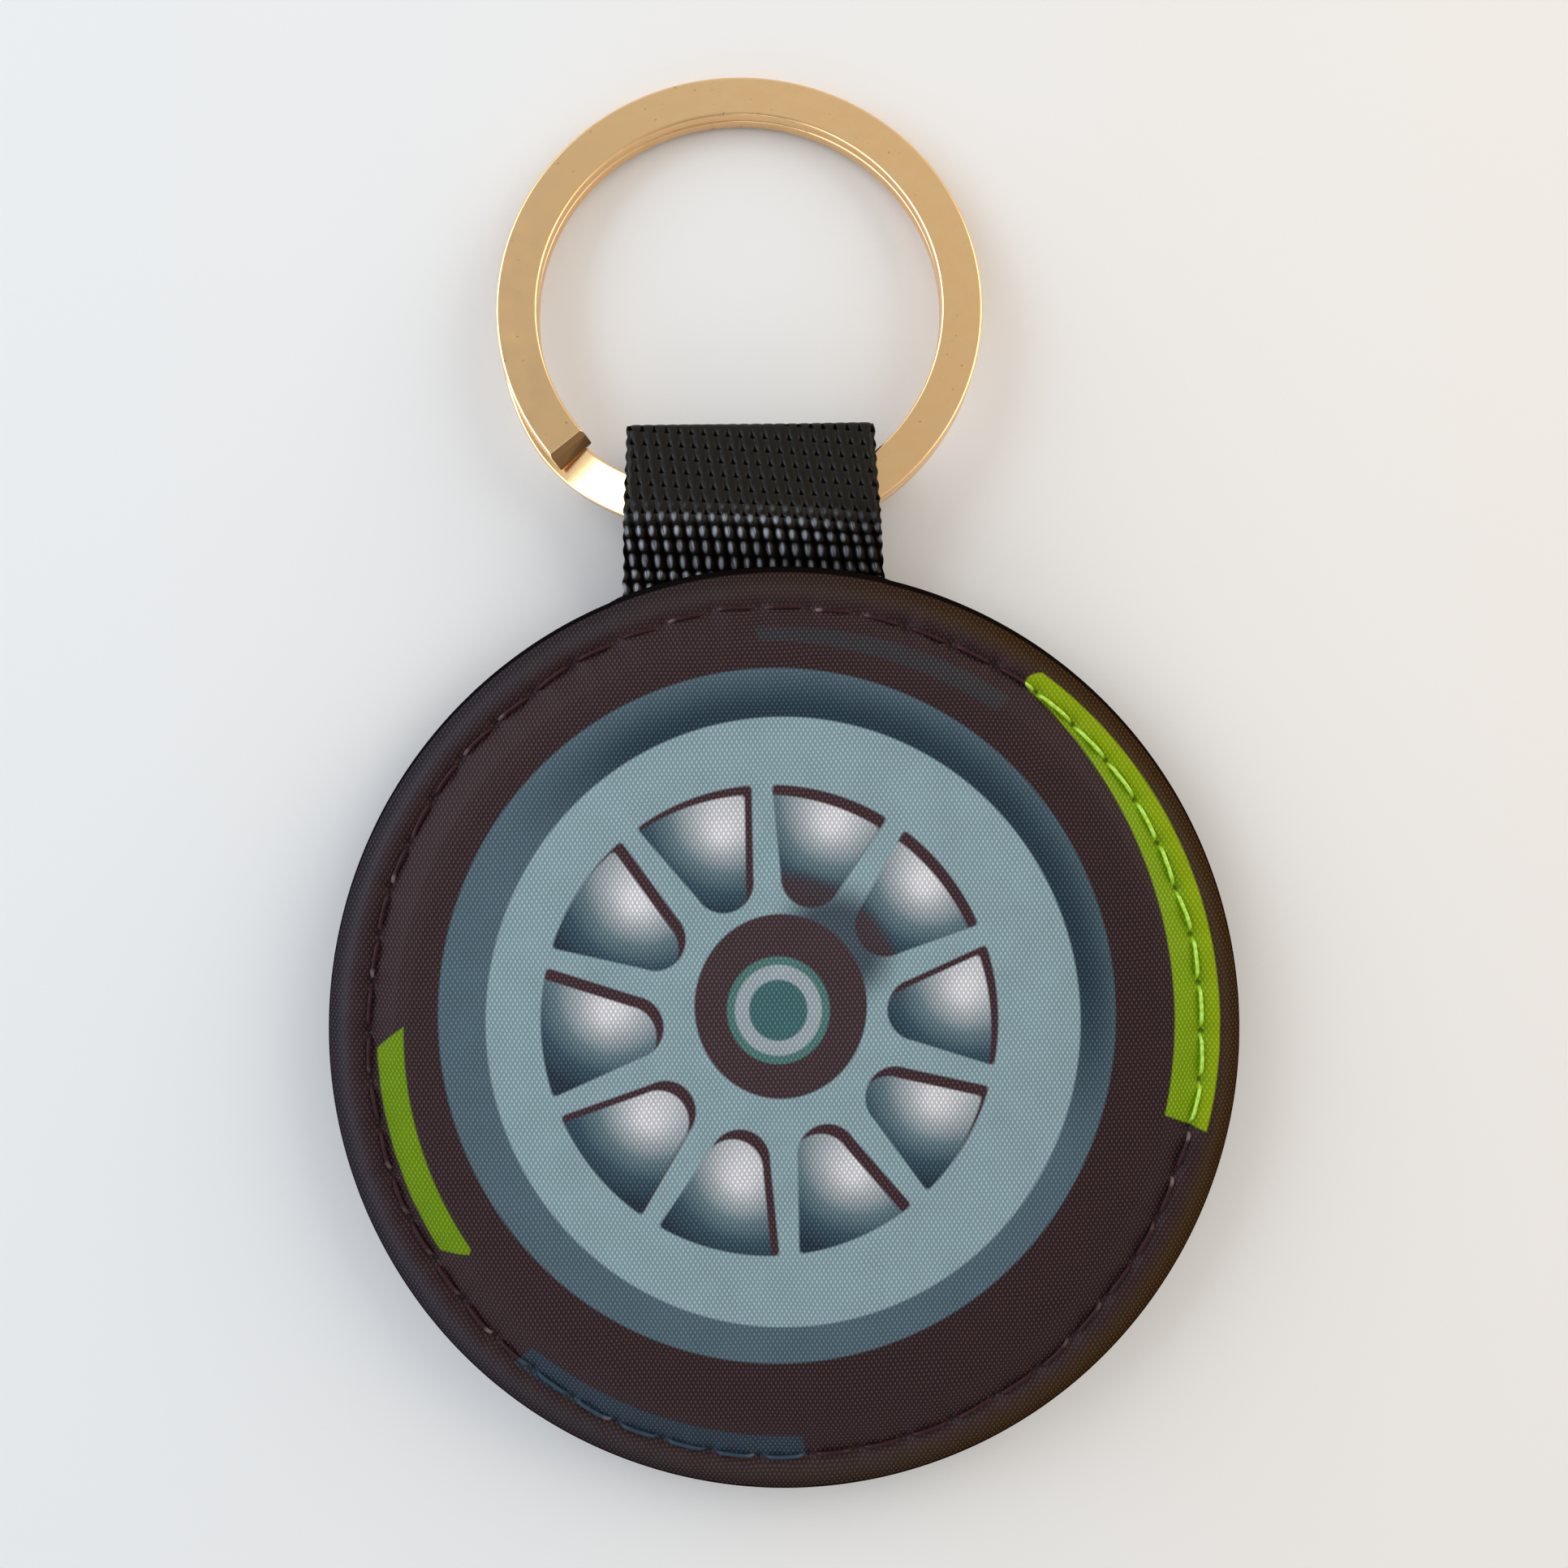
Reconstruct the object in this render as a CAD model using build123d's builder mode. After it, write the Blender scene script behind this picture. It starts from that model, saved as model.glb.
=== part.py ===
from build123d import *

import os
from math import asin, atan2, copysign, cos, degrees, hypot, sin, sqrt

# Round padded fabric keychain: two turned-edge covers over foam, sewn together round a webbing
# loop that carries a split key ring. It lies on its back, with +Y towards the ring.

# Pad: heights run from its middle plane to each side
pad_radius = 30.0
crown_inset = 14.0
crown_height = 3.7
flat_depth = 0.5
face_inset = 5.6
seam_inset = 2.8
seam_height = 2.15
welt_inset = 1.6
welt_height = 2.4
roll_inset = 0.45
roll_height = 1.75
edge_height = 0.8
fold_inset = 0.6
fabric_thickness = 0.4
hem_width = 5.0
layer_gap = 0.05
cut_overrun = 2.0

# Webbing: two tails sewn into the pad and the loop outside it
webbing_width = 16.3
webbing_thickness = 0.9
strap_x = -2.2
tail_length = 8.0
strap_room = 0.1
flex_standoff = 1.2
flex_clearance = 0.6
neck_run = 0.25
loop_rise = 1.4
eye_slack = 0.9
eye_corner_radius = 0.4
eye_nose_radius = 0.1

# Split ring: one flat wire wound twice, with a joggle between its two levels
ring_outer_radius = 16.0
band_width = 2.7
coil_thickness = 0.85
coil_gap = 0.05
wire_edge = 0.15
ring_shift = -0.75
ring_room = 0.15
joggle_start_angle = 225.5
joggle_turn = 24.0
end_gap_angle = 2.0
joggle_sections = 5
bevel_run = 0.6
bevel_share = 0.5

# Sewing: one row of lock stitches round the edge
stitch_count = 54
stitch_length = 2.6
thread_radius = 0.17
thread_room = 0.02
thread_sides = 6

# Places and fits that follow from the sizes above
face_height = crown_height - flat_depth
mid_height = face_height
half_gap = layer_gap / 2
seam_radius = pad_radius - seam_inset
hem_inner_radius = pad_radius - hem_width
slot_width = webbing_width + 2 * strap_room
slot_height = half_gap + webbing_thickness + strap_room
tail_end_y = pad_radius - tail_length

ring_inner_radius = ring_outer_radius - band_width
ring_half_height = coil_thickness + coil_gap / 2
ring_reach_x = webbing_width / 2 + abs(ring_shift)
ring_half_span = (ring_outer_radius - sqrt(ring_inner_radius**2 - ring_reach_x**2)) / 2

flex_y = pad_radius + flex_standoff
tail_mouth_y = flex_y - webbing_thickness - flex_clearance
eye_y = flex_y + ring_half_span + neck_run
eye_z = mid_height + loop_rise

# The ring runs through the eye and its far edge lies on the table
eye_to_ring_centre = ring_outer_radius - ring_half_span
ring_reach = ring_outer_radius + eye_to_ring_centre
ring_tilt = asin(eye_z / hypot(ring_reach, ring_half_height)) - atan2(ring_half_height, ring_reach)
ring_centre = (
    strap_x + ring_shift,
    eye_y + eye_to_ring_centre * cos(ring_tilt),
    eye_z - eye_to_ring_centre * sin(ring_tilt),
)

mid_plane = Plane.XY.offset(mid_height)
strap_plane = Plane.YZ.offset(strap_x)
ring_plane = Plane(ring_centre, x_dir=(1, 0, 0), z_dir=(0, sin(ring_tilt), cos(ring_tilt)))
ring_axis = Axis(ring_plane.origin, ring_plane.z_dir)


def section_corners(side, inset):
    """Corners of half a section, from the axis round to the middle plane, its sides moved in by inset."""
    crown = [(0, crown_height), (pad_radius - crown_inset, crown_height)]
    flat = [(0, face_height)]
    rim = [
        (pad_radius - face_inset, face_height),
        (seam_radius, seam_height),
        (pad_radius - welt_inset, welt_height),
        (pad_radius - roll_inset, roll_height),
        (pad_radius, edge_height),
        (pad_radius - fold_inset, half_gap),
    ]
    top = crown if side > 0 else flat
    outline = [Vector(*point) for point in top + rim + [(0, half_gap)]]
    corners = [outline[0] - Vector(0, inset)]
    for before, here, after in zip(outline, outline[1:], outline[2:]):
        first = (here - before).normalized().rotate(Axis.Z, -90)
        second = (after - here).normalized().rotate(Axis.Z, -90)
        corners.append(here + (first + second) * (inset / (1 + first.dot(second))))
    corners.append(outline[-1] + Vector(0, inset))
    return corners


def half_body(side, inset):
    """One half of the pad as a revolve: face, seam channel, welt and rolled edge."""
    section_plane = Plane((0, 0, mid_height), x_dir=(1, 0, 0), z_dir=(0, -side, 0))
    with BuildPart() as half:
        with BuildSketch(section_plane):
            with BuildLine():
                Polyline(*section_corners(side, inset), close=True)
            make_face()
        revolve(axis=Axis.Z)
    return half.part


def strap_block(side, width, height, start_y):
    """A block over the tails, from the pad's middle plane to the given height, out past the pad's edge."""
    length = pad_radius + cut_overrun - start_y
    with BuildPart() as block:
        with BuildSketch(mid_plane):
            with Locations((strap_x, start_y + length / 2)):
                Rectangle(width, length)
        extrude(amount=side * height)
    return block.part


def hem_channel(side):
    """The hem where the strap enters: pressed outwards round the tails, inside the pad's outline."""
    width = slot_width + 2 * fabric_thickness
    height = slot_height + fabric_thickness
    with BuildPart() as channel:
        add(strap_block(side, width, height, 0))
        with BuildSketch(mid_plane):
            Circle(hem_inner_radius)
        extrude(amount=side * (height + cut_overrun), mode=Mode.SUBTRACT)
        with BuildSketch(mid_plane):
            Circle(pad_radius + cut_overrun)
        extrude(amount=side * half_gap, mode=Mode.SUBTRACT)
        add(half_body(side, 0), mode=Mode.INTERSECT)
    return channel.part


def carve_cover(side):
    """Turn a full half of the pad into its skin, with a hem turned in and a slot for the strap."""
    add(half_body(side, fabric_thickness), mode=Mode.SUBTRACT)
    with BuildSketch(mid_plane) as opening:
        Circle(hem_inner_radius)
    hem_top = half_gap + fabric_thickness + layer_gap
    extrude(opening.sketch, amount=side * hem_top, mode=Mode.SUBTRACT)
    add(hem_channel(side))
    add(strap_block(side, slot_width, slot_height, 0), mode=Mode.SUBTRACT)


def carve_foam(side):
    """Fill a cover to the middle plane inside its hem, and press in the bed of the strap and its hem."""
    with BuildSketch(mid_plane.offset(side * half_gap)) as centre:
        Circle(hem_inner_radius - layer_gap)
    extrude(centre.sketch, amount=side * (fabric_thickness + layer_gap))
    bed_width = slot_width + 2 * (fabric_thickness + layer_gap)
    bed_height = slot_height + fabric_thickness + layer_gap
    bed = strap_block(side, bed_width, bed_height, tail_end_y - strap_room)
    add(bed, mode=Mode.SUBTRACT)


with BuildPart() as front_cover:
    add(half_body(1, 0))
    carve_cover(1)
front_cover.part.label = "front_cover"

with BuildPart() as back_cover:
    add(half_body(-1, 0))
    carve_cover(-1)
back_cover.part.label = "back_cover"

with BuildPart() as front_foam:
    add(half_body(1, fabric_thickness + layer_gap))
    carve_foam(1)
front_foam.part.label = "front_foam"

with BuildPart() as back_foam:
    add(half_body(-1, fabric_thickness + layer_gap))
    carve_foam(-1)
back_foam.part.label = "back_foam"

# The strip's two ends lie face to face in the pad, and stop short of where the loop bends
with BuildPart() as webbing_tails:
    for side in (1, -1):
        with BuildSketch(mid_plane.offset(side * half_gap)):
            with Locations((strap_x, (tail_end_y + tail_mouth_y) / 2)):
                Rectangle(webbing_width, tail_mouth_y - tail_end_y)
        extrude(amount=side * webbing_thickness)
webbing_tails.part.label = "webbing_tails"

# The loop is a strip of even thickness round a flat eye, pinched together at the pad
with BuildPart() as webbing_loop:
    eye_width = 2 * (ring_half_span + ring_room) + eye_slack
    eye_height = 2 * (ring_half_height + ring_room)
    for grown in (webbing_thickness, 0):
        with BuildSketch(strap_plane) as outline:
            with Locations(Location((eye_y, eye_z), -degrees(ring_tilt))):
                with Locations((eye_slack / 2, 0)):
                    RectangleRounded(eye_width + 2 * grown, eye_height + 2 * grown, eye_corner_radius + grown)
            with Locations((flex_y, mid_height)):
                Circle(eye_nose_radius + grown)
            make_hull()
        if grown:
            extrude(amount=webbing_width / 2, both=True)
        else:
            extrude(amount=webbing_width, both=True, mode=Mode.SUBTRACT)
webbing_loop.part.label = "webbing_loop"


def band_plane(angle, level):
    """Plane across the wire at an angle round the ring: x outwards, y up through the ring's thickness."""
    outward = ring_plane.x_dir.rotate(Axis((0, 0, 0), ring_plane.z_dir), angle)
    band_radius = ring_outer_radius - band_width / 2
    place = ring_plane.origin + outward * band_radius + ring_plane.z_dir * level
    return Plane(place, x_dir=outward, z_dir=outward.cross(ring_plane.z_dir))


def wire_profile():
    """Section of the flat wire, its corners broken."""
    with BuildSketch() as profile:
        Rectangle(band_width, coil_thickness)
        chamfer(profile.vertices(), length=wire_edge)
    return profile.sketch


def bevel_end(angle, level, way):
    """Shear a wire end to a bevel on the ring's outer side, where keys are pushed under it."""
    across = band_plane(angle, level)
    profile_plane = Plane(
        across.origin + across.x_dir * band_width,
        x_dir=across.z_dir * way,
        z_dir=across.x_dir * -1,
    )
    outside = copysign((coil_thickness + coil_gap) / 2, level)
    inside = copysign(coil_thickness * (1 / 2 - bevel_share), level)
    with BuildSketch(profile_plane) as wedge:
        with BuildLine():
            Polyline((-bevel_run, outside), (bevel_run, outside), (0, inside), (-bevel_run, inside), close=True)
        make_face()
    extrude(wedge.sketch, amount=2 * band_width, mode=Mode.SUBTRACT)


# One wire: upper coil, joggle and lower coil
with BuildPart() as split_ring:
    level = (coil_thickness + coil_gap) / 2
    coil_turn = 360 - joggle_turn - end_gap_angle
    joggle_end_angle = joggle_start_angle + joggle_turn
    with BuildSketch(band_plane(joggle_end_angle, level)):
        add(wire_profile())
    revolve(axis=ring_axis, revolution_arc=coil_turn)
    with BuildSketch(band_plane(joggle_start_angle, -level)):
        add(wire_profile())
    revolve(axis=ring_axis, revolution_arc=-coil_turn)
    for k in range(joggle_sections):
        along = k / (joggle_sections - 1)
        climb = along * along * (3 - 2 * along)
        step_plane = band_plane(joggle_start_angle + joggle_turn * along, level * (2 * climb - 1))
        with BuildSketch(step_plane):
            add(wire_profile())
    loft()
    bevel_end(joggle_start_angle - end_gap_angle, level, 1)
    bevel_end(joggle_end_angle + end_gap_angle, -level, -1)
split_ring.part.label = "split_ring"


def stitch(side):
    """One stitch as a short bar along the seam, lying in its channel."""
    height = mid_height + side * (seam_height + thread_room + thread_radius)
    with BuildPart() as bar:
        with BuildSketch(Plane((seam_radius, 0, height), x_dir=(1, 0, 0), z_dir=(0, 1, 0))):
            RegularPolygon(thread_radius, thread_sides)
        extrude(amount=stitch_length / 2, both=True)
    return bar.part


half_pitch = 180 / stitch_count
with BuildPart() as needle_stitches:
    with PolarLocations(0, stitch_count, start_angle=half_pitch):
        add(stitch(1))
needle_stitches.part.label = "needle_stitches"

with BuildPart() as bobbin_stitches:
    with PolarLocations(0, stitch_count, start_angle=half_pitch):
        add(stitch(-1))
bobbin_stitches.part.label = "bobbin_stitches"

pieces = (
    front_cover, back_cover, front_foam, back_foam, webbing_tails,
    webbing_loop, split_ring, needle_stitches, bobbin_stitches,
)
os.makedirs("parts", exist_ok=True)
for piece in pieces:
    export_step(piece.part, f"parts/{piece.part.label}.step")
print("flex axis y and z", flex_y, mid_height)
print("eye centre y and z", eye_y, eye_z)
print("ring centre", ring_centre, "tilt", degrees(ring_tilt))
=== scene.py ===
import bpy
import numpy as np
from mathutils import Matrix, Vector


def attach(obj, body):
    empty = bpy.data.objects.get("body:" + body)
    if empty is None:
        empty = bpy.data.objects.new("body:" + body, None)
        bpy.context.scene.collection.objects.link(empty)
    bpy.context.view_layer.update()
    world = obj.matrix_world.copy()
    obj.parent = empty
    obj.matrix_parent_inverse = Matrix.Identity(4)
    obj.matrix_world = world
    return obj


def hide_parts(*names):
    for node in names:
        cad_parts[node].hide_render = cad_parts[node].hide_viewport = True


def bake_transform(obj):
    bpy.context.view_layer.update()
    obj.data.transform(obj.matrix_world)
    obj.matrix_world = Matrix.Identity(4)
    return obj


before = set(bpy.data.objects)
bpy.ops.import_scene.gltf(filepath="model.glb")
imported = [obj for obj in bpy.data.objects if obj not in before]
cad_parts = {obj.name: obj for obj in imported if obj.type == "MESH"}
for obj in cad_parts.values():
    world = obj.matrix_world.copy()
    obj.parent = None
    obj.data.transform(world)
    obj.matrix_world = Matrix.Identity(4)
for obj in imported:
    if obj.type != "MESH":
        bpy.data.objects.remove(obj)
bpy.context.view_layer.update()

# Table, light and camera
# A matt pale table top, lit by a cool soft box on the left and a warm one on the right. The
# camera looks straight down on the printed face.

# Sizes are in millimetres throughout
mm = 0.001


def srgb(red, green, blue):
    """A screen colour made linear: each part over 255, plus 0.055, over 1.055, to the power 2.4."""
    parts = (np.array([red, green, blue]) / 255 + 0.055) / 1.055
    return (*np.power(parts, 2.4), 1.0)


def new_material(name):
    """An empty node material, and its tree and shader."""
    made = bpy.data.materials.new(name)
    made.use_nodes = True
    return made, made.node_tree, made.node_tree.nodes["Principled BSDF"]


class Field:
    """A number that varies over a surface: sums and products of fields add Math nodes to their tree."""

    def __init__(self, tree, socket):
        self.tree = tree
        self.socket = socket

    def math(self, operation, *others):
        """One Math node, fed with this field and then the others."""
        node = self.tree.nodes.new("ShaderNodeMath")
        node.operation = operation
        for port, value in zip(node.inputs, (self, *others)):
            if isinstance(value, Field):
                self.tree.links.new(value.socket, port)
            else:
                port.default_value = value
        return Field(self.tree, node.outputs[0])

    def __add__(self, other):
        return self.math("ADD", other)

    def __sub__(self, other):
        return self.math("SUBTRACT", other)

    def __mul__(self, other):
        return self.math("MULTIPLY", other)

    def __rsub__(self, other):
        return self.math("MULTIPLY_ADD", -1.0, other)

    def step(self, low, high):
        """0 at low, 1 at high, and a smooth step between them."""
        node = self.tree.nodes.new("ShaderNodeMapRange")
        node.interpolation_type = "SMOOTHSTEP"
        self.tree.links.new(self.socket, node.inputs["Value"])
        node.inputs["From Min"].default_value = low
        node.inputs["From Max"].default_value = high
        return Field(self.tree, node.outputs["Result"])


def coordinates(tree, source="Object", name=None):
    """The three parts of a texture coordinate, or of a named map, as fields."""
    if name:
        place = tree.nodes.new("ShaderNodeUVMap")
        place.uv_map = name
        socket = place.outputs[0]
    else:
        socket = tree.nodes.new("ShaderNodeTexCoord").outputs[source]
    split = tree.nodes.new("ShaderNodeSeparateXYZ")
    tree.links.new(socket, split.inputs[0])
    return [Field(tree, port) for port in split.outputs]


def layer(tree, share, under, over):
    """The colour under, covered by over where share is 1."""
    node = tree.nodes.new("ShaderNodeMix")
    node.data_type = "RGBA"
    tree.links.new(share.socket, node.inputs["Factor"])
    for port, colour in ((node.inputs[6], under), (node.inputs[7], over)):
        if isinstance(colour, bpy.types.NodeSocket):
            tree.links.new(colour, port)
        else:
            port.default_value = colour
    return node.outputs[2]


def new_piece(name, points, faces, material, smooth=True):
    """A mesh object at the origin from points in millimetres and a list of arrays of faces."""
    mesh = bpy.data.meshes.new(name)
    mesh.from_pydata((np.asarray(points) * mm).tolist(), [], [f for part in faces for f in part.tolist()])
    mesh.polygons.foreach_set("use_smooth", np.full(len(mesh.polygons), smooth))
    mesh.materials.append(material)
    mesh.update()
    piece = bpy.data.objects.new(name, mesh)
    bpy.context.collection.objects.link(piece)
    return piece


table_half = 1500.0
table_drop = 0.02
table_finish, tree, shader = new_material("table")
table_x = coordinates(tree)[0] * 1000
# Painted light: the table top runs from cool on the left to warm on the right, a tint of the two soft boxes'
# light.
table_painted_cool_light = srgb(236, 238, 241)
table_painted_warm_light = srgb(240, 236, 233)
tree.links.new(layer(tree, table_x.step(-60, 60), table_painted_cool_light, table_painted_warm_light), shader.inputs["Base Color"])
shader.inputs["Roughness"].default_value = 0.9
shader.inputs["Specular IOR Level"].default_value = 0.1
corners = np.array([[-1, -1, 0], [1, -1, 0], [1, 1, 0], [-1, 1, 0]]) * table_half - [0, 0, table_drop]
table = new_piece("table", corners, [np.array([[0, 1, 2, 3]])], table_finish, False)

bpy.context.scene.view_settings.view_transform = "Standard"
world = bpy.data.worlds.new("studio")
bpy.context.scene.world = world
world.use_nodes = True
sky = world.node_tree
sky_light = sky.nodes["Background"]
sky_light.inputs["Color"].default_value = (1.0, 1.0, 1.0, 1.0)
sky_light.inputs["Strength"].default_value = 0.53
# The camera and the metal see another sky than the one that lights: cool on the left and warm on the
# right, with a window on the left that only gloss shows, and dimmer low in front and high on the left.
sky_seen = sky.nodes.new("ShaderNodeBackground")
sky_x, sky_y, sky_up = coordinates(sky, "Generated")
cool_sky, warm_sky = (0.84, 0.92, 1.0, 1.0), (1.0, 0.94, 0.84, 1.0)
sky.links.new(layer(sky, sky_x.step(-0.7, 0.7), cool_sky, warm_sky), sky_seen.inputs["Color"])
rays = sky.nodes.new("ShaderNodeLightPath")
in_gloss = Field(sky, rays.outputs["Is Glossy Ray"])
window_side = sky_x.step(-0.32, -0.5) * sky_up.step(0.25, 0.45) * in_gloss
dim_side = sky_y.step(-0.25, -0.7) * sky_up.step(0.25, 0.45)
dim_top = sky_x.step(-0.02, -0.2) * sky_up.step(0.6, 0.8)
sky_level = sky_up.step(1.0, 0.6) * 0.35 + window_side * 2.4 - dim_side * 0.5 - dim_top * 0.18 + 0.6
sky.links.new(sky_level.socket, sky_seen.inputs["Strength"])
seen = Field(sky, rays.outputs["Is Camera Ray"]).math("MAXIMUM", in_gloss)
seen = seen.math("MAXIMUM", Field(sky, rays.outputs["Is Transmission Ray"]))
choice = sky.nodes.new("ShaderNodeMixShader")
sky.links.new(seen.socket, choice.inputs[0])
sky.links.new(sky_light.outputs[0], choice.inputs[1])
sky.links.new(sky_seen.outputs[0], choice.inputs[2])
sky.links.new(choice.outputs[0], sky.nodes["World Output"].inputs["Surface"])

soft_boxes = (
    ("cool_box", (-330, 170, 230), 360, 0.93, (0.84, 0.92, 1.0)),
    ("warm_box", (330, 180, 230), 360, 0.93, (1.0, 0.91, 0.76)),
    ("front_box", (-60, -320, 240), 150, 0.11, (0.88, 0.94, 1.0)),
)
for name, place, width, power, tint in soft_boxes:
    lamp = bpy.data.lights.new(name, "AREA")
    lamp.shape = "SQUARE"
    lamp.size = width * mm
    lamp.energy = power
    lamp.color = tint
    box = bpy.data.objects.new(name, lamp)
    bpy.context.collection.objects.link(box)
    box.location = np.array(place) * mm
    aim = Vector(-box.location)
    box.rotation_euler = aim.to_track_quat("-Z", "Y").to_euler()
    box.visible_camera = False

# A focal length of 2000 pixels in a frame that is 1932 pixels wide
camera_height = 110.4
camera_y = 15.96
focal_share = 2000 / 1932
view = bpy.data.cameras.new("view")
view.sensor_width = 36
view.lens = view.sensor_width * focal_share
view.clip_start = 0.005
camera = bpy.data.objects.new("view", view)
bpy.context.collection.objects.link(camera)
camera.location = (0, camera_y * mm, camera_height * mm)
bpy.context.scene.camera = camera

# Front cover
# A disc of printed polyester weave over thin foam, its edge turned in as a hem. One seam near
# the edge pulls it down into a channel, with a small pucker at each needle hole.

# Height of the plane between both covers, from which a cover's own heights are measured
middle = 3.2
face_height = 3.2
face_radius = 24.4
seam_radius = 27.2
stitch_count = 54
pitch = 2 * np.pi / stitch_count
strap_x = -2.2
slot_half_width = 8.25
slot_height = 1.04
columns_per_stitch = 14
crease_waves = (27, 41, 54, 68, 83, 108)


def rounded_run(corners, step, window):
    """A line through the corners, sampled every step, and rounded by a moving mean over a bell window."""
    corners = np.array(corners, float)
    along = np.concatenate([[0], np.cumsum(np.hypot(*np.diff(corners, axis=0).T))])
    spots = np.linspace(0, along[-1], int(along[-1] / step) + 2)
    line = np.stack([np.interp(spots, along, corners[:, k]) for k in (0, 1)], axis=1)
    reach = int(window / step / 2)
    if not reach:
        return line
    before = 2 * line[0] - line[reach:0:-1]
    after = 2 * line[-1] - line[-2:-reach - 2:-1]
    padded = np.concatenate([before, line, after])
    weight = np.hanning(2 * reach + 3)[1:-1]
    weight /= weight.sum()
    return np.stack([np.convolve(padded[:, k], weight, "valid") for k in (0, 1)], axis=1)


def seam_wander(angle, sine):
    """How far the seam strays from its circle, in millimetres: four sines of the angle round the pad."""
    oval = sine(angle * 2 - np.pi / 2) * 0.26
    return oval + sine(angle * 3 + 0.7) * 0.08 + sine(angle * 7 + 2.1) * 0.06 + sine(angle * 17 + 4.0) * 0.04


def cover_surface(side, crown):
    """Points of a cover: a profile turned round the pad, its height changed by the sewing and the strap.

    The profile runs from the pole over the face, the seam and the edge to the hem, and back inside. The
    needle holes are bells in both directions, the creases sines round the pad that fade from the seam, and
    the slot lifts the inner side over the strap with a smooth step at its borders.
    """
    face = [(r, face_height + crown * (1 - (r / face_radius) ** 2)) for r in np.linspace(0, 24.2, 30)]
    rim = [(25.2, 3.06), (26.5, 2.44), (27.2, 2.14), (27.9, 2.38), (28.6, 2.40), (29.5, 1.85), (30.03, 0.85)]
    hem = [(29.6, 0.05), (29.0, 0.03), (27.0, 0.03)]
    face_run = rounded_run(face, 0.6, 0)
    rim_run = rounded_run(face[-2:] + rim + hem, 0.13, 0.75)
    inside = [(25.0, 0.03), (25.0, 0.43), (28.9, 0.43), (29.4, 0.9), (29.0, 1.6), (28.2, 1.9)]
    inside += [(27.2, 1.62), (24.4, 2.75), (12, 2.8 + 0.7 * crown), (0, 2.8 + crown)]
    profile = np.concatenate([face_run[:-2], rim_run, inside])
    outer_count = len(profile) - len(inside)
    columns = stitch_count * columns_per_stitch
    angle = np.arange(columns) * 2 * np.pi / columns
    radius, height = profile[1:-1, :1], profile[1:-1, 1:]
    outer = (np.arange(len(radius)) < outer_count - 1)[:, None]
    seam = seam_radius + seam_wander(angle, np.sin)
    radius = radius * (1 - 0.005 * np.cos(2 * angle) * np.clip(radius / 27 - 0.5, 0, 0.5) / 0.5)
    radius = radius + (seam - seam_radius) * np.exp(-((radius - seam_radius) / 1.3) ** 2) * outer
    beyond = radius - seam
    to_hole = (((angle / pitch + 0.5) % 1) - 0.5) * pitch * seam_radius
    hole = np.exp(-(to_hole / 0.3) ** 2 - (beyond / 0.3) ** 2)
    pull = np.exp(-(to_hole / 0.75) ** 2) * np.exp(-np.abs(beyond) / 0.9)
    rng = np.random.default_rng(4 if side > 0 else 9)
    crease = np.zeros(columns)
    for turns in crease_waves:
        crease += np.sin(turns * angle + rng.uniform(0, 2 * np.pi)) * rng.uniform(0.4, 1.0) / 3
    crease_share = np.exp(-(np.abs(beyond) / 1.5) ** 1.5) * (radius < 29.9)
    swell = np.sin(5 * angle + 1.0) * 0.03 + np.sin(9 * angle + 3.0) * 0.02
    facing = height > 0.9
    height = height + outer * facing * (-0.22 * hole - 0.10 * pull + 0.075 * crease * crease_share)
    height = height + outer * facing * swell * np.exp(-((radius - 28.6) / 1.6) ** 2)
    across = radius * np.cos(angle)
    over_strap = np.clip((slot_half_width + 1.1 - np.abs(across - strap_x)) / 0.9, 0, 1) * (np.sin(angle) > 0)
    over_strap = over_strap ** 2 * (3 - 2 * over_strap) * (radius > 21)
    top = np.where(outer, 2.42, 2.0)
    height = height + over_strap * slot_height * np.clip(1 - height / top, 0, 1)
    ring = np.stack([across, radius * np.sin(angle), middle + side * height], axis=-1)
    poles = [[0, 0, middle + side * profile[0, 1]], [0, 0, middle + side * profile[-1, 1]]]
    return np.concatenate([ring.reshape(-1, 3), poles]), ring.shape[0], columns


def tube_faces(count_along, count_round):
    """Corners of the squares of a tube whose points are numbered ring by ring."""
    here, there = np.meshgrid(np.arange(count_along - 1), np.arange(count_round), indexing="ij")
    beside = (there + 1) % count_round
    this_ring, next_ring = here * count_round, (here + 1) * count_round
    corners = [this_ring + there, this_ring + beside, next_ring + beside, next_ring + there]
    return np.stack([c.ravel() for c in corners], axis=1)


def new_cover(name, side, crown, material):
    """The cover's mesh: a closed shell of rings, with a fan of triangles at each pole."""
    points, rows, columns = cover_surface(side, crown)
    belt = tube_faces(rows, columns)
    here = np.arange(columns)
    beside = (here + 1) % columns
    last = (rows - 1) * columns
    first_fan = np.stack([np.full(columns, rows * columns), beside, here], axis=1)
    last_fan = np.stack([np.full(columns, rows * columns + 1), last + here, last + beside], axis=1)
    order = slice(None, None, 1 if side < 0 else -1)
    return new_piece(name, points, [part[:, order] for part in (belt, first_fan, last_fan)], material)


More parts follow.
